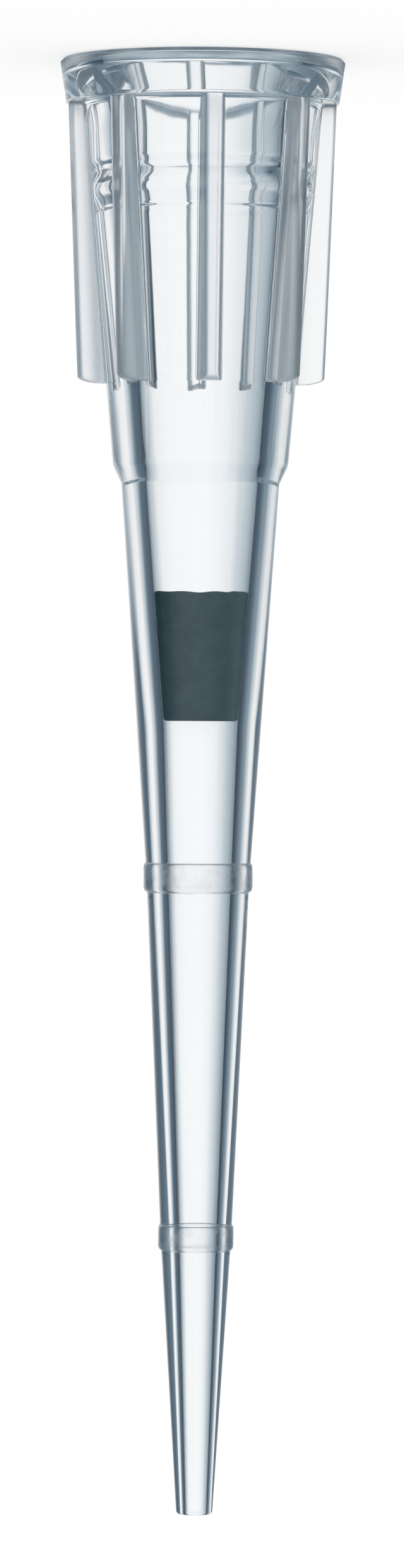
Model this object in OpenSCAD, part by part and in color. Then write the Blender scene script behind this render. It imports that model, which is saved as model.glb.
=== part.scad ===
// Filtered pipette tip: one clear moulded body and the porous plug pressed into its bore.
// The tip stands on its rim, with the rim face on z = 0 and the narrow end up.
// Stations along the axis are measured in +Z from the rim face, unless a name says otherwise.

/* [Overall] */
// Length from the rim face to the crown of the narrow end
tip_length = 32; // [30:0.1:34]

/* [Rim flange] */
// Diameter of the rim at its lip
rim_d = 6.26; // [6.1:0.01:6.6]
// Diameter of the flange at its underside
flange_base_d = 6.02; // [6:0.01:6.08]
// Height of the flange
flange_h = 0.98; // [0.9:0.01:1.2]
// Chamfer of the lip between the rim face and the flange's side
lip_chamfer = 0.08; // [0.03:0.01:0.12]
// Rounding of the flange's lower edge
flange_round = 0.04; // [0.02:0.01:0.08]
// Fillet between the flange's underside and the wall below it
root_fillet = 0.1; // [0.05:0.01:0.3]

/* [Socket] */
// Diameter of the mouth at the rim face
mouth_d = 4.42; // [4.2:0.01:4.7]
// Height of the mouth's straight part
mouth_h = 0.17; // [0.08:0.01:0.25]
// Height of the funnel between the mouth and the socket
lead_in_h = 0.62; // [0.5:0.01:0.8]
// Diameter of the socket where the funnel ends
socket_top_d = 3.64; // [3.54:0.01:3.72]
// Height of the steeper taper below the funnel
neck_h = 0.48; // [0.3:0.01:0.6]
// Diameter of the socket where the steeper taper ends
neck_d = 3.49; // [3.47:0.01:3.53]
// Diameter of the socket just above the sealing land
socket_mid_d = 3.46; // [3.4:0.01:3.46]
// Diameter of the sealing land that grips the pipette's nozzle
land_d = 3.32; // [3.24:0.01:3.32]
// Distance from the rim face to the sealing land
land_z = 2.32; // [2:0.01:2.8]
// Height of the sealing land
land_h = 0.08; // [0.06:0.01:0.3]
// Length of the slope above the sealing land
land_slope = 0.14; // [0.12:0.01:0.3]
// Diameter of the relief groove below the land
groove_d = 3.54; // [3.46:0.01:3.64]
// Height of the relief groove
groove_h = 0.22; // [0.1:0.01:0.3]
// Length of the slope above the relief groove
groove_slope = 0.28; // [0.2:0.01:0.4]
// Diameter of the small ridge below the groove
ridge_d = 3.33; // [3.32:0.01:3.34]
// Height of the small ridge
ridge_h = 0.04; // [0.02:0.01:0.1]
// Length of the slope above the small ridge
ridge_slope = 0.3; // [0.2:0.01:0.4]
// Length of the step below the small ridge
ridge_step = 0.06; // [0.02:0.01:0.1]
// Diameter of the socket just below the small ridge
socket_low_d = 3.35; // [3.34:0.01:3.4]
// Diameter of the socket where the shoulder starts
socket_end_d = 2.52; // [2.48:0.01:2.6]

/* [Shoulder and bore] */
// Distance from the rim face to the shoulder
shoulder_z = 8.92; // [8.4:0.01:9.6]
// Height of the shoulder
shoulder_h = 0.4; // [0.3:0.01:0.6]
// Diameter of the bore at the shoulder's lower end
bore_top_d = 2.47; // [2.4:0.01:2.5]
// Diameter of the bore below the plug, where its taper gets gentler
bore_seat_d = 1.64; // [1.56:0.01:1.7]
// Diameter of the bore at the lower volume mark
bore_low_d = 0.82; // [0.76:0.01:0.9]
// Diameter of the orifice at the narrow end
orifice_d = 0.46; // [0.4:0.01:0.52]

/* [Walls] */
// Wall at the socket's top
wall_top = 0.78; // [0.72:0.01:0.84]
// Wall at the shoulder
wall_shoulder = 0.67; // [0.6:0.01:0.72]
// Wall just below the shoulder
wall_shaft = 0.503; // [0.46:0.001:0.54]
// Wall at the upper volume mark
wall_high_mark = 0.438; // [0.41:0.001:0.46]
// Wall at the lower volume mark
wall_low_mark = 0.37; // [0.34:0.001:0.4]
// Wall at the narrow end
wall_end = 0.173; // [0.15:0.001:0.2]
// Rounding of the narrow end's outer edge
end_round = 0.08; // [0.04:0.01:0.12]
// Rounding of the orifice's edge
orifice_round = 0.03; // [0.01:0.01:0.05]

/* [Volume marks] */
// Distance from the narrow end to the middle of the 10 microlitre mark
high_mark_from_end = 14.02; // [13:0.01:15]
// Height of the 10 microlitre mark
high_mark_h = 0.64; // [0.4:0.01:0.8]
// How far the 10 microlitre mark stands out of the wall
high_mark_proud = 0.065; // [0.04:0.005:0.1]
// Distance from the narrow end to the middle of the 2 microlitre mark
low_mark_from_end = 6.1; // [5.6:0.01:6.6]
// Height of the 2 microlitre mark
low_mark_h = 0.56; // [0.4:0.01:0.7]
// How far the 2 microlitre mark stands out of the wall
low_mark_proud = 0.05; // [0.03:0.005:0.08]

/* [Fins] */
// Number of fins round the socket
fin_count = 8; // [6:1:12]
// Thickness of a fin at its foot on the wall
fin_t = 0.5; // [0.4:0.01:0.6]
// How much a fin narrows towards its crest, in millimetres of thickness for each of height
fin_draft = 0.34; // [0.2:0.01:0.5]
// Length of the fins below the flange
fin_length = 6.16; // [5:0.01:7]
// Diameter across the fins at the flange
fin_top_d = 5.91; // [5.8:0.01:5.92]
// Diameter across the fins at their lower ends
fin_end_d = 5.45; // [5.2:0.01:5.7]
// Rounding of each fin's lower outer corner
fin_corner = 0.16; // [0.05:0.01:0.3]
// Angle of the first fin from the X axis
fin_angle = -5; // [-22:1:22]
// How deep each fin's root runs into the wall
fin_root = 0.15; // [0.08:0.01:0.3]

/* [Filter plug] */
// Distance from the rim face to the plug's upper face
plug_z = 11.7; // [11:0.05:12.5]
// Length of the plug
plug_length = 2.82; // [2:0.02:3.4]
// Bore length kept at the steep taper past the plug's lower face
plug_run_out = 0.1; // [0.05:0.01:0.4]
// Chamfer on both edges of the plug
plug_chamfer = 0.06; // [0.02:0.01:0.12]
// Gap round the plug, none while it is pressed in
plug_gap = 0; // [0:0.001:0.004]

/* [Hidden] */
$fn = 96;

// Segments in each small rounding of the profile
ARC_STEPS = 6;

// Stations in +Z from the rim face
high_mark_z = tip_length - high_mark_from_end;
low_mark_z = tip_length - low_mark_from_end;
shaft_z = shoulder_z + shoulder_h;
seat_z = plug_z + plug_length + plug_run_out;
lead_in_z = mouth_h + lead_in_h;
neck_z = lead_in_z + neck_h;
land_end_z = land_z + land_h;
groove_z = land_end_z + groove_slope;
groove_end_z = groove_z + groove_h;
ridge_z = groove_end_z + ridge_slope;
ridge_end_z = ridge_z + ridge_h;
socket_low_z = ridge_end_z + ridge_step;
fin_end_z = flange_h + fin_length;

// Value at z on the straight line through (z0, v0) and (z1, v1)
function along(z, z0, v0, z1, v1) = v0 + (v1 - v0) * (z - z0) / (z1 - z0);

// Points on an arc of radius r about [cx, cz], from angle a0 to a1
function arc(cx, cz, r, a0, a1) =
    [for (i = [0:ARC_STEPS]) let (a = a0 + (a1 - a0) * i / ARC_STEPS) [cx + r * cos(a), cz + r * sin(a)]];

// Bore radius on the steep taper that holds the plug, and on the gentler one below it
function plug_bore_r(z) = along(z, shaft_z, bore_top_d / 2, seat_z, bore_seat_d / 2);
function well_r(z) = along(z, seat_z, bore_seat_d / 2, low_mark_z, bore_low_d / 2);

// Radius of the outside at each station
body_top_r = socket_top_d / 2 + wall_top;
shoulder_r = socket_end_d / 2 + wall_shoulder;
shaft_r = bore_top_d / 2 + wall_shaft;
high_mark_r = well_r(high_mark_z) + wall_high_mark;
low_mark_r = bore_low_d / 2 + wall_low_mark;
end_r = orifice_d / 2 + wall_end;
fin_end_wall_r = along(fin_end_z, flange_h, body_top_r, shoulder_z, shoulder_r);

// Radius of the outside along the three tapers of the shaft
function upper_shaft_r(z) = along(z, shaft_z, shaft_r, high_mark_z, high_mark_r);
function middle_shaft_r(z) = along(z, high_mark_z, high_mark_r, low_mark_z, low_mark_r);
function lower_shaft_r(z) = along(z, low_mark_z, low_mark_r, tip_length, end_r);

// A raised mark: a straight band with rounded edges, between radius r0 above it and r1 below it
function mark_band(z, h, band_r, r0, r1) = concat(
    arc(r0, z - h / 2 + band_r - r0, band_r - r0, -90, 0),
    arc(r1, z + h / 2 - band_r + r1, band_r - r1, 0, 90)
);

// Outside of the body, from the rim face to the narrow end
function outer_profile() = concat(
    [[rim_d / 2 - lip_chamfer, 0], [rim_d / 2, lip_chamfer]],
    arc(flange_base_d / 2 - flange_round, flange_h - flange_round, flange_round, 0, 90),
    arc(body_top_r + root_fillet, flange_h + root_fillet, root_fillet, 270, 180),
    [[shoulder_r, shoulder_z], [shaft_r, shaft_z]],
    mark_band(high_mark_z, high_mark_h, high_mark_r + high_mark_proud,
        upper_shaft_r(high_mark_z - high_mark_h / 2), middle_shaft_r(high_mark_z + high_mark_h / 2)),
    mark_band(low_mark_z, low_mark_h, low_mark_r + low_mark_proud,
        middle_shaft_r(low_mark_z - low_mark_h / 2), lower_shaft_r(low_mark_z + low_mark_h / 2)),
    arc(end_r - end_round, tip_length - end_round, end_round, 0, 90)
);

// Inside of the body, from the narrow end back to the rim face
function bore_profile() = concat(
    arc(orifice_d / 2 + orifice_round, tip_length - orifice_round, orifice_round, 90, 180),
    [
        [bore_low_d / 2, low_mark_z],
        [bore_seat_d / 2, seat_z],
        [bore_top_d / 2, shaft_z],
        [socket_end_d / 2, shoulder_z],
        [socket_low_d / 2, socket_low_z],
        [ridge_d / 2, ridge_end_z],
        [ridge_d / 2, ridge_z],
        [groove_d / 2, groove_end_z],
        [groove_d / 2, groove_z],
        [land_d / 2, land_end_z],
        [land_d / 2, land_z],
        [socket_mid_d / 2, land_z - land_slope],
        [neck_d / 2, neck_z],
        [socket_top_d / 2, lead_in_z],
        [mouth_d / 2, mouth_h],
        [mouth_d / 2, 0]
    ]
);

// Outline of a fin in the plane of the axis, from its root in the wall to its outer edge
function fin_outline() = concat(
    [[body_top_r - fin_root, flange_h / 2], [fin_top_d / 2, flange_h / 2], [fin_top_d / 2, flange_h]],
    arc(fin_end_d / 2 - fin_corner, fin_end_z - fin_corner, fin_corner, 0, 90),
    [[fin_end_wall_r - fin_root, fin_end_z]]
);

// Cross-section of a fin beyond the wall: from its root in the wall out to past its crest
function fin_section() = let (
    reach = fin_end_d / 2 - fin_end_wall_r + fin_root,
    crest_t = fin_t - fin_draft * reach
) [
    [-fin_root, -fin_t / 2], [0, -fin_t / 2], [reach, -crest_t / 2],
    [reach, crest_t / 2], [0, fin_t / 2], [-fin_root, fin_t / 2]
];

// One fin: its outline, drawn in at both sides towards the crest, along the wall's slope
module fin() {
    slope = atan((body_top_r - shoulder_r) / (shoulder_z - flange_h));
    intersection() {
        rotate([90, 0, 0])
            linear_extrude(height = fin_t, center = true)
                polygon(fin_outline());
        translate([body_top_r, 0, flange_h])
            rotate([0, -slope, 0])
                linear_extrude(height = 3 * fin_length, center = true)
                    polygon(fin_section());
    }
}

// Clear moulded body: flange, fins, socket, shoulder, marks and tapered bore in one piece
module tip_body() {
    color([0.86, 0.92, 0.96, 0.45]) {
        rotate_extrude()
            polygon(concat(outer_profile(), bore_profile()));
        for (i = [0:fin_count - 1])
            rotate([0, 0, fin_angle + i * 360 / fin_count])
                fin();
    }
}

// Porous plug pressed into the bore: its side follows the bore's taper
module filter_plug() {
    plug_end_z = plug_z + plug_length;
    upper_r = plug_bore_r(plug_z + plug_chamfer) - plug_gap;
    lower_r = plug_bore_r(plug_end_z - plug_chamfer) - plug_gap;
    color([0.24, 0.32, 0.35])
        rotate_extrude()
            polygon([
                [0, plug_z],
                [upper_r - plug_chamfer, plug_z],
                [upper_r, plug_z + plug_chamfer],
                [lower_r, plug_end_z - plug_chamfer],
                [lower_r - plug_chamfer, plug_end_z],
                [0, plug_end_z]
            ]);
}

tip_body();
filter_plug();
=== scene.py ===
"""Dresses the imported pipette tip: a clear moulded body and a porous plug, on a pale stage in soft light."""

import math

import bmesh
import bpy
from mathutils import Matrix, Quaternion, Vector, noise


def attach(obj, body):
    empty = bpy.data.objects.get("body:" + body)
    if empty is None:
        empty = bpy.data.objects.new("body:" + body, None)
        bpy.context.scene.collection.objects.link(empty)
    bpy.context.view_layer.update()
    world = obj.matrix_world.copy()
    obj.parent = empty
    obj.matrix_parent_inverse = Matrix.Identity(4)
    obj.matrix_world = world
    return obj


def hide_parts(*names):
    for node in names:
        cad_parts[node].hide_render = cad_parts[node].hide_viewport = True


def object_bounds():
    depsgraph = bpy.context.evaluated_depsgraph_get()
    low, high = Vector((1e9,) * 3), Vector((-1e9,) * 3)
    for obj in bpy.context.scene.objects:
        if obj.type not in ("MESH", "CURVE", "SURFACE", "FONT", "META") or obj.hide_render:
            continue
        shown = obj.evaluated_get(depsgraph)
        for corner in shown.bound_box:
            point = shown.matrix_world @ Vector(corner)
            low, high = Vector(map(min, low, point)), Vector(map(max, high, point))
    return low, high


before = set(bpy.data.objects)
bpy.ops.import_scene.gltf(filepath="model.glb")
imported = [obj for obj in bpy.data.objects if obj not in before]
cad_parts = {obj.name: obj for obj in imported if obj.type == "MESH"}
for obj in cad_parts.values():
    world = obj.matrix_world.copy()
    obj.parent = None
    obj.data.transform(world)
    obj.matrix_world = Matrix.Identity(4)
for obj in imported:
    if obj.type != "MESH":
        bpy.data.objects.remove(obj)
cad_low, cad_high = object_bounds()

MM = 0.001
BODY = "root"

# Heights and radii of the body in millimetres, as the solids have them. Heights are from the rim's face, but
# the words upper and lower are as in use, with the rim on top.
LENGTH = (cad_high.z - cad_low.z) / MM
RIM_R = (cad_high.x - cad_low.x) / 2 / MM
LIP_CHAMFER = 0.08
FLANGE_R = 3.01
FLANGE_H = 0.98
FLANGE_ROUND = 0.04
ROOT_FILLET = 0.1
BODY_TOP_R = 2.60
SHOULDER_Z = 8.92
SHOULDER_R = 1.93
SHAFT_Z = 9.32
SHAFT_R = 1.738
END_R = 0.403
END_ROUND = 0.08

# Bore, from the orifice back to the mouth
ORIFICE_R = 0.23
ORIFICE_ROUND = 0.03
WELL_LOW_R = 0.41
SEAT_Z = 14.62
SEAT_R = 0.82
BORE_TOP_R = 1.235
SOCKET_END_R = 1.26
SOCKET_LOW_R = 1.675
SOCKET_LOW_Z = 3.30
RIDGE_R = 1.645
RIDGE_END_Z = 3.24
RIDGE_Z = 3.20
GROOVE_R = 1.77
GROOVE_END_Z = 2.90
GROOVE_Z = 2.68
LAND_R = 1.66
LAND_END_Z = 2.40
LAND_Z = 2.32
SOCKET_MID_R = 1.73
SOCKET_MID_Z = 2.18
NECK_R = 1.745
NECK_Z = 1.27
SOCKET_TOP_R = 1.82
LEAD_IN_Z = 0.79
MOUTH_R = 2.21
MOUTH_H = 0.17

# How far the moulding's core sits off the axis, towards -X
CORE_SHIFT = 0.025

# How far the rounding of a corner reaches along both of its sides
LIP_BEND = 0.015
SHOULDER_BEND = 0.08
SHAFT_BEND = 0.025
CRISP_BORE_BEND = 0.05
SOFT_BORE_BEND = 0.2

# Raised volume marks: middle, height, how far they stand out, and the wall under them
HIGH_MARK_Z = LENGTH - 14.02
HIGH_MARK_H = 0.64
HIGH_MARK_PROUD = 0.065
HIGH_MARK_WALL = 0.438
LOW_MARK_Z = LENGTH - 6.1
LOW_MARK_H = 0.56
LOW_MARK_PROUD = 0.05
LOW_MARK_WALL = 0.37

# How tall the marks' upper and lower edges are, as a multiple of how far each stands out of its wall
MARK_SWELL = 3.0
MARK_FALL = 1.6

# Fins
FIN_COUNT = 8
FIN_ANGLE = math.radians(-5)
FIN_HALF_T = 0.25
FIN_DRAFT = 0.10
FIN_TOP_R = 2.955
FIN_END_R = 2.725
FIN_END_Z = FLANGE_H + 6.16
FIN_CORNER = 0.16
FIN_EDGE = 0.14
FIN_FOOT = 0.05
FIN_END_EDGE = 0.04
FIN_LEAST_PROUD = 0.002

# Where a fin section has its points, as shares of its crest, its flank and the wall to the next fin
CREST_SHARES = (0, 0.5, 0.85, 1)
FLANK_SHARES = (0.08, 0.5, 0.92, 1)
WALL_SHARES = (0.04, 0.15, 0.32, 0.5, 0.66, 0.83)

# Plug: its ends, its rounded edges, how deep its grain goes and how uneven its upper face is
PLUG_Z = 11.7
PLUG_END_Z = 14.52
PLUG_EDGE = 0.06
PLUG_GRAIN = 0.012
PLUG_COARSE_SCALE = 9.0
PLUG_FINE_SCALE = 21.0
PLUG_UNEVEN = 0.07
PLUG_UNEVEN_SCALE = 1.9

# Clear plastic: the haze is what the fins add to its roughness, and the frost is how rough the marks are from
# their smoothest patches to their roughest. Scales are in patches or waves for each metre.
PLASTIC_COLOUR = (0.988, 0.996, 1.0, 1)
PLASTIC_IOR = 1.49
PLASTIC_ROUGHNESS = 0.05
FIN_HAZE = 0.24
MARK_FROST_LOW = 0.10
MARK_FROST_HIGH = 0.32
FROST_SCALE = 4500.0
FROST_SPAN = (0.35, 0.65)
MARK_MARGIN = 0.02
RIPPLE_SCALE = 900.0
RIPPLE_STRENGTH = 0.02
RIPPLE_DEPTH = 0.1

# Porous plastic. Its dark teal-slate colours are painted shade: the plug is lit from behind, and it is
# coloured as dark as it looks in that shade.
PLUG_SHADE_DARK = (0.048, 0.120, 0.130, 1)
PLUG_SHADE_PALE = (0.078, 0.175, 0.188, 1)
PLUG_ROUGHNESS = 0.9
PLUG_SPECULAR = 0.15
MOTTLE_SCALE = 2600.0
MOTTLE_SPAN = (0.3, 0.75)
BEAD_SCALE = 9000.0
BEAD_STRENGTH = 0.5
BEAD_DEPTH = 0.03

# The floor: its radius, the gap that keeps it apart from the rim, and its colour and lift towards white
FLOOR_RADIUS = 1.5
FLOOR_GAP = 0.02 * MM
FLOOR_COLOUR = (0.32, 0.32, 0.32, 1)
FLOOR_LIFT = 0.7

# Brightness of the studio by direction, clockwise in degrees from +Y towards +X
SKY_STOPS = [
    (-180, 0.60),
    (-155, 0.52),
    (-135, 0.42),
    (-120, 0.40),
    (-108, 0.44),
    (-96, 0.46),
    (-88, 0.42),
    (-80, 0.22),
    (-68, 0.01),
    (-55, 0.04),
    (-44, 0.10),
    (-32, 0.21),
    (-27, 0.34),
    (-22, 0.46),
    (-14, 0.63),
    (-7, 0.90),
    (0, 1.00),
    (20, 1.00),
    (27, 0.72),
    (32, 0.60),
    (37, 0.40),
    (42, 0.18),
    (49, 0.08),
    (57, 0.05),
    (68, 0.03),
    (78, 0.00),
    (104, 0.03),
    (124, 0.40),
    (140, 0.65),
    (155, 0.65),
    (180, 0.60),
]

# Sines of the elevations between which the studio turns to its dim ceiling, and the ceiling's brightness
SKY_LOW_EDGE = 0.25
SKY_HIGH_EDGE = 0.5
OVERHEAD_LEVEL = 0.12

# Powers of the brightness that give the green and the blue of the studio's light, bluer as it dims
STUDIO_GREEN = 0.81
STUDIO_BLUE = 0.69

# Brightness of the floor under the rim, as the plastic sees it, by Y as a share of the rim's radius
UNDER_RIM_STOPS = [
    (-0.62, 0.20),
    (-0.56, 0.27),
    (-0.50, 0.38),
    (-0.43, 0.46),
    (-0.37, 0.46),
    (-0.29, 0.37),
    (-0.18, 0.28),
    (0.00, 0.19),
    (1.00, 0.19),
]

# How fine the unevenness of that light is, and by how much it scales the light
UNDER_RIM_GRAIN = 1400.0
UNDER_RIM_UNEVEN = (0.72, 1.25)

# Camera, in millimetres, and the degrees of roll that bring the rim to the picture's top
CAMERA_DISTANCE = 154
CAMERA_HEIGHT = 14.05
TARGET_X = -0.076
TARGET_Z = 15.92
CAMERA_LENS = 160.7
CAMERA_ROLL = 180.35


def along(z, z0, v0, z1, v1):
    """Value at z on the straight line through (z0, v0) and (z1, v1)."""
    return v0 + (v1 - v0) * (z - z0) / (z1 - z0)


def smooth(t):
    """Smooth step from 0 to 1."""
    t = min(max(t, 0.0), 1.0)
    return t * t * (3 - 2 * t)


def plug_bore_r(z):
    """Bore round the plug."""
    return along(z, SHAFT_Z, BORE_TOP_R, SEAT_Z, SEAT_R)


def well_r(z):
    """Bore between the plug and the lower mark."""
    return along(z, SEAT_Z, SEAT_R, LOW_MARK_Z, WELL_LOW_R)


HIGH_MARK_R = well_r(HIGH_MARK_Z) + HIGH_MARK_WALL
LOW_MARK_R = WELL_LOW_R + LOW_MARK_WALL


def wall_r(z):
    """Outside of the wall between the flange and the shoulder."""
    return along(z, FLANGE_H + ROOT_FILLET, BODY_TOP_R, SHOULDER_Z, SHOULDER_R)


def upper_shaft_r(z):
    """Outside of the shaft above the upper mark."""
    return along(z, SHAFT_Z, SHAFT_R, HIGH_MARK_Z, HIGH_MARK_R)


def middle_shaft_r(z):
    """Outside of the shaft between the marks."""
    return along(z, HIGH_MARK_Z, HIGH_MARK_R, LOW_MARK_Z, LOW_MARK_R)


def lower_shaft_r(z):
    """Outside of the shaft below the lower mark."""
    return along(z, LOW_MARK_Z, LOW_MARK_R, LENGTH, END_R)


def arc(cr, cz, radius, a0, a1, steps=7):
    """Points (r, z) on an arc about (cr, cz), from angle a0 to a1 in degrees."""
    angles = [math.radians(a0 + (a1 - a0) * i / steps) for i in range(steps + 1)]
    return [(cr + radius * math.cos(a), cz + radius * math.sin(a)) for a in angles]


def mark_band(z, height, band_r, above_r, below_r):
    """A raised mark: a straight band that swells out of the wall above it and falls to the wall below."""
    start, end = z - height / 2, z + height / 2
    rise, fall = band_r - above_r, band_r - below_r
    swell = [(r, start + on * MARK_SWELL) for r, on in arc(above_r, rise, rise, -90, 0, 6)]
    drop = [(r, end + on * MARK_FALL) for r, on in arc(below_r, -fall, fall, 0, 90, 6)]
    return swell + drop


def round_bend(corner, before, after, reach, steps=5):
    """A smooth curve in place of a corner, reaching the given length along both sides."""
    c, b, a = Vector(corner), Vector(before), Vector(after)
    start, end = c + (b - c).normalized() * reach, c + (a - c).normalized() * reach
    points = []
    for i in range(steps + 1):
        t = i / steps
        p = start * (1 - t) ** 2 + c * 2 * t * (1 - t) + end * t**2
        points.append((p.x, p.y))
    return points


def outer_profile():
    """Outside of the body, from the rim face to the narrow end, as (r, z)."""
    lip, side = (RIM_R - LIP_CHAMFER, 0), (RIM_R, LIP_CHAMFER)
    shoulder, shaft = (SHOULDER_R, SHOULDER_Z), (SHAFT_R, SHAFT_Z)
    fin_end = (wall_r(FIN_END_Z), FIN_END_Z)
    points = round_bend(lip, (MOUTH_R, 0), side, LIP_BEND)
    points += round_bend(side, lip, (FLANGE_R, FLANGE_H), LIP_BEND)
    points += arc(FLANGE_R - FLANGE_ROUND, FLANGE_H - FLANGE_ROUND, FLANGE_ROUND, 0, 90)
    points += arc(BODY_TOP_R + ROOT_FILLET, FLANGE_H + ROOT_FILLET, ROOT_FILLET, 270, 180, 10)
    points += [fin_end]
    points += round_bend(shoulder, fin_end, shaft, SHOULDER_BEND)
    points += round_bend(shaft, shoulder, (HIGH_MARK_R, HIGH_MARK_Z), SHAFT_BEND)
    points += mark_band(
        HIGH_MARK_Z,
        HIGH_MARK_H,
        HIGH_MARK_R + HIGH_MARK_PROUD,
        upper_shaft_r(HIGH_MARK_Z - HIGH_MARK_H / 2),
        middle_shaft_r(HIGH_MARK_Z + HIGH_MARK_H / 2),
    )
    points += mark_band(
        LOW_MARK_Z,
        LOW_MARK_H,
        LOW_MARK_R + LOW_MARK_PROUD,
        middle_shaft_r(LOW_MARK_Z - LOW_MARK_H / 2),
        lower_shaft_r(LOW_MARK_Z + LOW_MARK_H / 2),
    )
    points += arc(END_R - END_ROUND, LENGTH - END_ROUND, END_ROUND, 0, 90)
    return points


def bore_profile():
    """Inside of the body, from the orifice back to the mouth, as (r, z)."""
    corners = [
        (WELL_LOW_R, LOW_MARK_Z),
        (SEAT_R, SEAT_Z),
        (BORE_TOP_R, SHAFT_Z),
        (SOCKET_END_R, SHOULDER_Z),
        (SOCKET_LOW_R, SOCKET_LOW_Z),
        (RIDGE_R, RIDGE_END_Z),
        (RIDGE_R, RIDGE_Z),
        (GROOVE_R, GROOVE_END_Z),
        (GROOVE_R, GROOVE_Z),
        (LAND_R, LAND_END_Z),
        (LAND_R, LAND_Z),
        (SOCKET_MID_R, SOCKET_MID_Z),
        (NECK_R, NECK_Z),
        (SOCKET_TOP_R, LEAD_IN_Z),
        (MOUTH_R, MOUTH_H),
        (MOUTH_R, 0),
    ]
    crisp = ((SOCKET_TOP_R, LEAD_IN_Z), (MOUTH_R, MOUTH_H))
    points = arc(ORIFICE_R + ORIFICE_ROUND, LENGTH - ORIFICE_ROUND, ORIFICE_ROUND, 90, 180, 4)
    before = points[-1]
    for corner, after in zip(corners, corners[1:]):
        widest = CRISP_BORE_BEND if corner in crisp else SOFT_BORE_BEND
        reach = min(widest, 0.48 * math.dist(before, corner), 0.48 * math.dist(corner, after))
        points += round_bend(corner, before, after, reach)
        before = corner
    return points + [(MOUTH_R + 0.01, 0), (MOUTH_R + 0.05, 0)]


def between(start, end, share):
    """The point at a share of the way from start to end."""
    return start[0] + (end[0] - start[0]) * share, start[1] + (end[1] - start[1]) * share


def supported(points, step=1.3, margin=0.03):
    """Adds points along each long straight, close to its ends too, so that its shading stays flat."""
    out = [points[0]]
    for before, after in zip(points, points[1:]):
        length = math.dist(before, after)
        if length > 4 * margin:
            count = max(1, round((length - 2 * margin) / step))
            for i in range(count + 1):
                t = (margin + (length - 2 * margin) * i / count) / length
                out.append(between(before, after, t))
        out.append(after)
    return out


def fin_section(wall, outer, narrowing=0.0):
    """Half of a fin's cross-section, as (angle, radius), from its middle to half way to the next fin."""
    half_t = FIN_HALF_T - narrowing
    root = math.sqrt(wall**2 - half_t**2)
    proud = max(outer - root, 0.0)
    crest = half_t - FIN_DRAFT * proud
    edge = min(FIN_EDGE, 0.42 * proud)
    foot = min(FIN_FOOT, 0.4 * proud)
    points = []
    for share in CREST_SHARES:
        across = (crest - edge) * share
        points.append((math.sqrt(outer**2 - across**2), across))
    centre_v = crest - edge
    centre_u = math.sqrt((outer - edge) ** 2 - centre_v**2)
    foot_u = math.sqrt((wall + foot) ** 2 - (half_t + foot) ** 2)
    lean = math.atan2(half_t - crest, max(centre_u - foot_u, 1e-6))
    start = math.atan2(centre_v, centre_u)
    for i in range(1, 6):
        a = start + (math.pi / 2 - lean - start) * i / 5
        points.append((centre_u + edge * math.cos(a), centre_v + edge * math.sin(a)))
    head = points[-1]
    heel = (foot_u - foot * math.sin(lean), half_t + foot - foot * math.cos(lean))
    points += [between(head, heel, share) for share in FLANK_SHARES]
    end = math.pi + math.atan2(half_t + foot, foot_u)
    begin = 1.5 * math.pi - lean
    for i in range(1, 5):
        a = begin + (end - begin) * i / 4
        points.append((foot_u + foot * math.cos(a), half_t + foot + foot * math.sin(a)))
    polar = [(math.atan2(v, u), math.hypot(u, v)) for u, v in points]
    first, last = polar[-1][0], math.pi / FIN_COUNT
    return polar + [(first + (last - first) * share, wall) for share in WALL_SHARES]


def plain_angles():
    """Column angles for rings that have no fins: those of a fin section, kept apart."""
    least = math.radians(0.35)
    angles = [0.0]
    for angle, _ in fin_section(BODY_TOP_R, FIN_TOP_R)[1:]:
        angles.append(max(angle, angles[-1] + least))
    return angles


def off_axis(angle, r, z, shift):
    """A ring's point moved along X, still as (angle, radius, z)."""
    x, y = r * math.cos(angle) + shift, r * math.sin(angle)
    return math.atan2(y, x), math.hypot(x, y), z


def whole_ring(half):
    """All columns round the body from half a fin's section."""
    ring = []
    for i in range(FIN_COUNT):
        middle = FIN_ANGLE + i * 2 * math.pi / FIN_COUNT
        ring += [(middle - a, r, z) for a, r, z in reversed(half[1:])]
        ring += [(middle + a, r, z) for a, r, z in half]
    return ring


def fin_ring(wall, z, outer, narrowing=0.0):
    """A ring through the fins, each a list of (angle, radius, z)."""
    section = fin_section(wall, max(outer, wall + FIN_LEAST_PROUD), narrowing)
    return whole_ring([(a, r, z) for a, r in section])


def fin_end_rings(steps=14):
    """The fins' lower ends, rounded over on to the wall."""
    rings = []
    for i in range(steps + 1):
        turn = math.pi / 2 * i / steps
        z = FIN_END_Z - FIN_CORNER * (1 - math.sin(turn))
        rise = max(0.0, z - (FIN_END_Z - FIN_END_EDGE))
        narrowing = FIN_END_EDGE - math.sqrt(max(FIN_END_EDGE**2 - rise**2, 0.0))
        outer = wall_r(z) + (FIN_END_R - wall_r(z)) * math.cos(turn)
        rings.append(fin_ring(wall_r(z), z, outer, narrowing))
    return rings


def body_rings():
    """Every ring of the body's surface, down the outside and back up the bore."""
    plain = plain_angles()
    rings = []
    for r, z in supported(outer_profile()):
        if z <= FLANGE_H + 1e-6 and r > FIN_TOP_R:
            rings.append(whole_ring([(a, r, z) for a in plain]))
        elif z < FIN_END_Z - FIN_CORNER - 0.01:
            rings.append(fin_ring(r, z, along(z, FLANGE_H, FIN_TOP_R, FIN_END_Z, FIN_END_R)))
        elif (r, z) == (wall_r(FIN_END_Z), FIN_END_Z):
            rings += fin_end_rings()
        elif z > FIN_END_Z + 0.03:
            rings.append(whole_ring([(a, r, z) for a in plain]))
    for r, z in supported(bore_profile()):
        shift = -CORE_SHIFT * smooth(z / LEAD_IN_Z)
        rings.append([off_axis(*point, shift) for point in whole_ring([(a, r, z) for a in plain])])
    return rings


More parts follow.
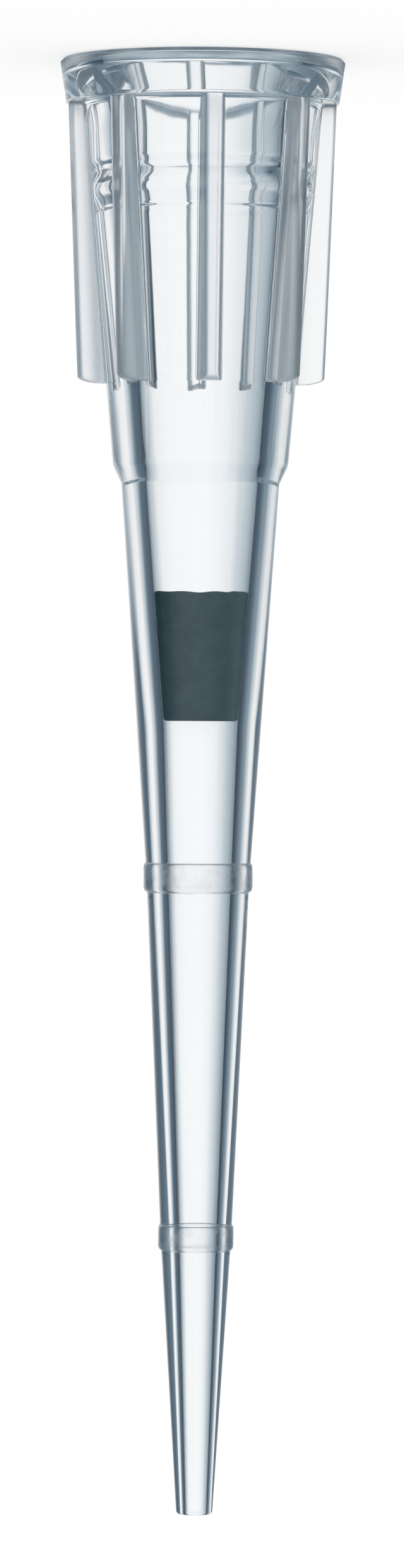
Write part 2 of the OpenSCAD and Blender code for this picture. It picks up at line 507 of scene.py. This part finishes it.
def mesh_object(name, bm):
    """Turns a bmesh into an object of the scene, and frees the bmesh."""
    mesh = bpy.data.meshes.new(name)
    bm.to_mesh(mesh)
    bm.free()
    piece = bpy.data.objects.new(name, mesh)
    bpy.context.scene.collection.objects.link(piece)
    return piece


def smooth_outward(bm):
    """Turns every face outwards and shades it smooth."""
    bmesh.ops.recalc_face_normals(bm, faces=bm.faces[:])
    for face in bm.faces:
        face.smooth = True


def build_body():
    """The clear body as one closed surface of rings."""
    bm = bmesh.new()
    rings = []
    for ring in body_rings():
        points = [(r * math.cos(a) * MM, r * math.sin(a) * MM, z * MM) for a, r, z in ring]
        rings.append([bm.verts.new(point) for point in points])
    count = len(rings[0])
    for i, ring in enumerate(rings):
        after = rings[(i + 1) % len(rings)]
        for j in range(count):
            k = (j + 1) % count
            bm.faces.new((ring[j], ring[k], after[k], after[j]))
    bmesh.ops.remove_doubles(bm, verts=bm.verts[:], dist=2e-7)
    bmesh.ops.dissolve_degenerate(bm, edges=bm.edges[:], dist=1e-7)
    smooth_outward(bm)
    body = mesh_object("clear_body", bm)
    body.data.set_sharp_from_angle(angle=math.radians(35))
    return body


def plug_point(a, r, z, facing):
    """A point of the plug's grainy surface; facing is -1 on its upper face, 0 on its side, 1 on its lower."""
    p = Vector((r * math.cos(a) - CORE_SHIFT, r * math.sin(a), z))
    grain = noise.noise(p * PLUG_COARSE_SCALE) * 0.5 + noise.noise(p * PLUG_FINE_SCALE) * 0.35
    normal = Vector((0, 0, facing)) if facing else Vector((math.cos(a), math.sin(a), 0))
    p = p - normal * PLUG_GRAIN * (1 + grain)
    if facing < 0 or z < PLUG_Z + PLUG_EDGE:
        p.z += PLUG_UNEVEN * noise.noise(Vector((p.x * PLUG_UNEVEN_SCALE, p.y * PLUG_UNEVEN_SCALE, 5.0)))
    return p * MM


def plug_sections(tall=72, inward=14):
    """Rings of the plug as (radius, z, facing), from its upper face's middle to its lower face's."""
    top_r, end_r = plug_bore_r(PLUG_Z) - PLUG_EDGE, plug_bore_r(PLUG_END_Z) - PLUG_EDGE
    start, end = PLUG_Z + PLUG_EDGE, PLUG_END_Z - PLUG_EDGE
    sections = [(top_r * i / inward, PLUG_Z, -1) for i in range(1, inward)]
    sections += [(r, z, 0) for r, z in arc(top_r, start, PLUG_EDGE, -90, 0, 5)]
    for i in range(1, tall):
        z = start + (end - start) * i / tall
        sections.append((plug_bore_r(z), z, 0))
    sections += [(r, z, 0) for r, z in arc(end_r, end, PLUG_EDGE, 0, 90, 5)]
    return sections + [(end_r * i / inward, PLUG_END_Z, 1) for i in range(inward - 1, 0, -1)]


def build_plug(around=160):
    """The porous plug: grainy sides and an uneven upper face."""
    bm = bmesh.new()
    turns = [2 * math.pi * j / around for j in range(around)]
    rings = [[bm.verts.new(plug_point(a, *section)) for a in turns] for section in plug_sections()]
    for ring, after in zip(rings, rings[1:]):
        for j in range(around):
            k = (j + 1) % around
            bm.faces.new((ring[j], ring[k], after[k], after[j]))
    for ring, z in ((rings[0], PLUG_Z), (rings[-1], PLUG_END_Z)):
        hub = bm.verts.new((0, 0, z * MM))
        for j in range(around):
            bm.faces.new((ring[j], ring[(j + 1) % around], hub))
    smooth_outward(bm)
    return mesh_object("porous_plug", bm)


def new_material(name):
    """A material with its nodes, links and Principled shader."""
    material = bpy.data.materials.new(name)
    material.use_nodes = True
    nodes = material.node_tree.nodes
    return material, nodes, material.node_tree.links, nodes["Principled BSDF"]


def feed(links, sockets, values):
    """Gives each socket its value: a number, or another node's output."""
    for socket, value in zip(sockets, values):
        if isinstance(value, bpy.types.NodeSocket):
            links.new(value, socket)
        else:
            socket.default_value = value


def calc(nodes, links, operation, *values):
    """Output of a math node."""
    node = nodes.new("ShaderNodeMath")
    node.operation = operation
    feed(links, node.inputs, values)
    return node.outputs[0]


def remap(nodes, links, value, source, target=(0, 1), clamp=True):
    """Output of a map range node, which turns the span source into the span target."""
    node = nodes.new("ShaderNodeMapRange")
    node.clamp = clamp
    sockets = [node.inputs[name] for name in ("Value", "From Min", "From Max", "To Min", "To Max")]
    feed(links, sockets, (value, *source, *target))
    return node.outputs["Result"]


def split_xyz(nodes, links, vector):
    """Outputs of a vector's X, Y and Z."""
    node = nodes.new("ShaderNodeSeparateXYZ")
    links.new(vector, node.inputs["Vector"])
    return node.outputs


def length_of(nodes, links, vector):
    """Output of a vector's length."""
    node = nodes.new("ShaderNodeVectorMath")
    node.operation = "LENGTH"
    links.new(vector, node.inputs[0])
    return node.outputs["Value"]


def patches(nodes, links, place, scale, detail):
    """Output of a noise texture's factor."""
    node = nodes.new("ShaderNodeTexNoise")
    node.inputs["Scale"].default_value = scale
    node.inputs["Detail"].default_value = detail
    links.new(place, node.inputs["Vector"])
    return node.outputs["Fac"]


def bump(nodes, links, height, strength, depth, shader):
    """Bumps a shader's surface by a height, to a depth in millimetres."""
    node = nodes.new("ShaderNodeBump")
    node.inputs["Strength"].default_value = strength
    node.inputs["Distance"].default_value = depth * MM
    links.new(height, node.inputs["Height"])
    links.new(node.outputs["Normal"], shader.inputs["Normal"])


def mix_colour(nodes, links, factor, a, b):
    """Output of a colour mix."""
    node = nodes.new("ShaderNodeMix")
    node.data_type = "RGBA"
    feed(links, [node.inputs[name] for name in ("Factor", "A", "B")], (factor, a, b))
    return node.outputs["Result"]


def on_marks(nodes, links, height):
    """1 on the two volume marks and 0 elsewhere."""
    bands = []
    for z, tall in ((HIGH_MARK_Z, HIGH_MARK_H), (LOW_MARK_Z, LOW_MARK_H)):
        bands.append(calc(nodes, links, "COMPARE", height, z * MM, (tall / 2 + MARK_MARGIN) * MM))
    return calc(nodes, links, "MAXIMUM", *bands)


def fin_haze(nodes, links, place, height):
    """Roughness that the fins and the rim's lip have beyond the rest of the moulding."""
    flat = nodes.new("ShaderNodeVectorMath")
    flat.operation = "MULTIPLY"
    flat.inputs[1].default_value = (1, 1, 0)
    links.new(place, flat.inputs[0])
    out = length_of(nodes, links, flat.outputs["Vector"])
    heights = ((FLANGE_H + ROOT_FILLET) * MM, SHOULDER_Z * MM)
    walls = ((BODY_TOP_R + FIN_FOOT) * MM, (SHOULDER_R + FIN_FOOT) * MM)
    wall = remap(nodes, links, height, heights, walls, clamp=False)
    proud = calc(nodes, links, "GREATER_THAN", out, wall)
    middle, reach = (FIN_END_Z + FLANGE_H) / 2 * MM, ((FIN_END_Z - FLANGE_H) / 2 - 0.01) * MM
    level = calc(nodes, links, "COMPARE", height, middle, reach)
    fin = calc(nodes, links, "MULTIPLY", proud, level)
    edge = calc(nodes, links, "LESS_THAN", height, LIP_CHAMFER * MM)
    both = calc(nodes, links, "ADD", fin, edge)
    return calc(nodes, links, "MULTIPLY", both, FIN_HAZE)


def clear_plastic():
    """Clear polypropylene: glassy and faintly wavy, hazy on the fins and unevenly frosted on the marks."""
    material, nodes, links, shader = new_material("clear_polypropylene")
    shader.inputs["Base Color"].default_value = PLASTIC_COLOUR
    shader.inputs["IOR"].default_value = PLASTIC_IOR
    shader.inputs["Transmission Weight"].default_value = 1.0
    place = nodes.new("ShaderNodeTexCoord").outputs["Object"]
    height = split_xyz(nodes, links, place)["Z"]
    frosting = patches(nodes, links, place, FROST_SCALE, 3.0)
    frost = remap(nodes, links, frosting, FROST_SPAN, (MARK_FROST_LOW, MARK_FROST_HIGH))
    marks = on_marks(nodes, links, height)
    rough = remap(nodes, links, marks, (0, 1), (PLASTIC_ROUGHNESS, frost))
    hazy = calc(nodes, links, "ADD", rough, fin_haze(nodes, links, place, height))
    links.new(hazy, shader.inputs["Roughness"])
    ripple = patches(nodes, links, place, RIPPLE_SCALE, 2.0)
    bump(nodes, links, ripple, RIPPLE_STRENGTH, RIPPLE_DEPTH, shader)
    return material


def porous_plastic():
    """Sintered polyethylene: matte, mottled, with a beady grain, in a dark teal-slate that is painted shade.
    """
    material, nodes, links, shader = new_material("porous_polyethylene")
    shader.inputs["Roughness"].default_value = PLUG_ROUGHNESS
    shader.inputs["Specular IOR Level"].default_value = PLUG_SPECULAR
    place = nodes.new("ShaderNodeTexCoord").outputs["Object"]
    ramp = nodes.new("ShaderNodeValToRGB")
    dark, pale = ramp.color_ramp.elements
    # The mottle's two colours are painted shade of the backlit plug, in dark teal-slate. The mottle itself is
    # the plug's uneven tone.
    dark.position, dark.color = MOTTLE_SPAN[0], PLUG_SHADE_DARK
    pale.position, pale.color = MOTTLE_SPAN[1], PLUG_SHADE_PALE
    links.new(patches(nodes, links, place, MOTTLE_SCALE, 4.0), ramp.inputs["Fac"])
    links.new(ramp.outputs["Color"], shader.inputs["Base Color"])
    beads = nodes.new("ShaderNodeTexVoronoi")
    beads.inputs["Scale"].default_value = BEAD_SCALE
    links.new(place, beads.inputs["Vector"])
    bump(nodes, links, beads.outputs["Distance"], BEAD_STRENGTH, BEAD_DEPTH, shader)
    return material


def main_pieces():
    """The body and the plug, each in place of its solid."""
    body = build_body()
    body.data.materials.append(clear_plastic())
    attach(body, BODY)
    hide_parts("tip_body")
    plug = build_plug()
    plug.data.materials.append(porous_plastic())
    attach(plug, BODY)
    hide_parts("filter_plug")


def studio_colour(level):
    """The studio's light at a brightness: white, and bluer as it gets dimmer."""
    return (level, level**STUDIO_GREEN, level**STUDIO_BLUE, 1)


def level_ramp(nodes, links, value, reach, unit, stops):
    """The studio's light by a value from -reach to reach units, with stops of (value, brightness)."""
    ramp = nodes.new("ShaderNodeValToRGB")
    links.new(remap(nodes, links, value, (-reach * unit, reach * unit)), ramp.inputs["Fac"])
    elements = ramp.color_ramp.elements
    while len(elements) < len(stops):
        elements.new(0.5)
    for element, (key, level) in zip(elements, stops):
        element.position = (key + reach) / (2 * reach)
        element.color = studio_colour(level)
    return ramp.outputs["Color"]


def sky_pattern(nodes, links, direction):
    """The studio by direction: white cards behind and before, dim between them."""
    parts = split_xyz(nodes, links, direction)
    angle = calc(nodes, links, "ARCTAN2", parts["X"], parts["Y"])
    return level_ramp(nodes, links, angle, 180, math.radians(1), SKY_STOPS)


def sky():
    """World light: white to the camera, cards and dim gaps to what looks through or off the plastic."""
    world = bpy.data.worlds.new("studio")
    bpy.context.scene.world = world
    world.use_nodes = True
    nodes, links = world.node_tree.nodes, world.node_tree.links
    nodes.clear()
    direction = nodes.new("ShaderNodeTexCoord").outputs["Generated"]
    colour = sky_pattern(nodes, links, direction)
    steep = nodes.new("ShaderNodeMapRange")
    steep.interpolation_type = "SMOOTHSTEP"
    steep.inputs["From Min"].default_value = SKY_LOW_EDGE
    steep.inputs["From Max"].default_value = SKY_HIGH_EDGE
    links.new(split_xyz(nodes, links, direction)["Z"], steep.inputs["Value"])
    seen = nodes.new("ShaderNodeBackground")
    ceiling = studio_colour(OVERHEAD_LEVEL)
    links.new(mix_colour(nodes, links, steep.outputs["Result"], colour, ceiling), seen.inputs["Color"])
    white = nodes.new("ShaderNodeBackground")
    white.inputs["Color"].default_value = (1, 1, 1, 1)
    path = nodes.new("ShaderNodeLightPath").outputs
    plain = calc(nodes, links, "MAXIMUM", path["Is Camera Ray"], path["Is Diffuse Ray"])
    mix = nodes.new("ShaderNodeMixShader")
    out = nodes.new("ShaderNodeOutputWorld")
    feed(links, mix.inputs, (plain, seen.outputs[0], white.outputs[0]))
    links.new(mix.outputs[0], out.inputs["Surface"])


def under_rim_light(nodes, links, place):
    """Patchy light under the rim, palest between the front wall and the middle."""
    across = split_xyz(nodes, links, place)["Y"]
    light = level_ramp(nodes, links, across, 1, RIM_R * MM, UNDER_RIM_STOPS)
    mottle = patches(nodes, links, place, UNDER_RIM_GRAIN, 2.0)
    uneven = remap(nodes, links, mottle, (0.3, 0.7), UNDER_RIM_UNEVEN)
    scaled = nodes.new("ShaderNodeVectorMath")
    scaled.operation = "SCALE"
    links.new(light, scaled.inputs[0])
    links.new(uneven, scaled.inputs["Scale"])
    return scaled.outputs["Vector"]


def seen_floor(nodes, links):
    """The floor as the plastic sees it: the studio's light by direction, and a soft glow under the rim."""
    place = nodes.new("ShaderNodeTexCoord").outputs["Object"]
    moved = nodes.new("ShaderNodeVectorMath")
    moved.inputs[1].default_value = (0, MOUTH_R * MM, 0)
    links.new(place, moved.inputs[0])
    colour = sky_pattern(nodes, links, moved.outputs["Vector"])
    under = calc(nodes, links, "LESS_THAN", length_of(nodes, links, place), RIM_R * MM)
    glow = under_rim_light(nodes, links, place)
    seen = nodes.new("ShaderNodeEmission")
    links.new(mix_colour(nodes, links, under, colour, glow), seen.inputs["Color"])
    return seen.outputs[0]


def floor():
    """A wide plain floor: white with a shadow to the camera, the studio's light to the plastic."""
    bm = bmesh.new()
    bmesh.ops.create_circle(bm, cap_ends=True, segments=96, radius=FLOOR_RADIUS)
    ground = mesh_object("floor", bm)
    ground.location.z = cad_low.z - FLOOR_GAP
    material = bpy.data.materials.new("floor_white")
    material.use_nodes = True
    nodes, links = material.node_tree.nodes, material.node_tree.links
    nodes.clear()
    matte = nodes.new("ShaderNodeBsdfDiffuse")
    matte.inputs["Color"].default_value = FLOOR_COLOUR
    lift = nodes.new("ShaderNodeEmission")
    lift.inputs["Color"].default_value = (1, 1, 1, 1)
    lift.inputs["Strength"].default_value = FLOOR_LIFT
    lit = nodes.new("ShaderNodeAddShader")
    feed(links, lit.inputs, (matte.outputs[0], lift.outputs[0]))
    path = nodes.new("ShaderNodeLightPath").outputs
    through = calc(nodes, links, "MAXIMUM", path["Is Transmission Ray"], path["Is Glossy Ray"])
    mix = nodes.new("ShaderNodeMixShader")
    out = nodes.new("ShaderNodeOutputMaterial")
    feed(links, mix.inputs, (through, lit.outputs[0], seen_floor(nodes, links)))
    links.new(mix.outputs[0], out.inputs["Surface"])
    ground.data.materials.append(material)


def camera():
    """Level with the middle of the tip, turned over so that the rim is at the picture's top."""
    eye = Vector((0, -CAMERA_DISTANCE * MM, cad_low.z + CAMERA_HEIGHT * MM))
    target = Vector((TARGET_X * MM, 0, cad_low.z + TARGET_Z * MM))
    data = bpy.data.cameras.new("camera")
    data.lens = CAMERA_LENS
    data.sensor_width = 36
    data.clip_start = 0.01
    data.clip_end = 10
    cam = bpy.data.objects.new("camera", data)
    bpy.context.scene.collection.objects.link(cam)
    cam.location = eye
    cam.rotation_mode = "QUATERNION"
    upright = (target - eye).to_track_quat("-Z", "Y")
    cam.rotation_quaternion = upright @ Quaternion((0, 0, 1), math.radians(CAMERA_ROLL))
    bpy.context.scene.camera = cam


def light_paths():
    """Enough bounces for light to pass the body's walls and fins."""
    cycles = bpy.context.scene.cycles
    cycles.max_bounces = 48
    cycles.transmission_bounces = 48
    cycles.glossy_bounces = 32
    cycles.diffuse_bounces = 4
    cycles.caustics_refractive = True
    cycles.caustics_reflective = True


main_pieces()
sky()
floor()
camera()
light_paths()
bpy.context.scene.view_settings.view_transform = "Standard"
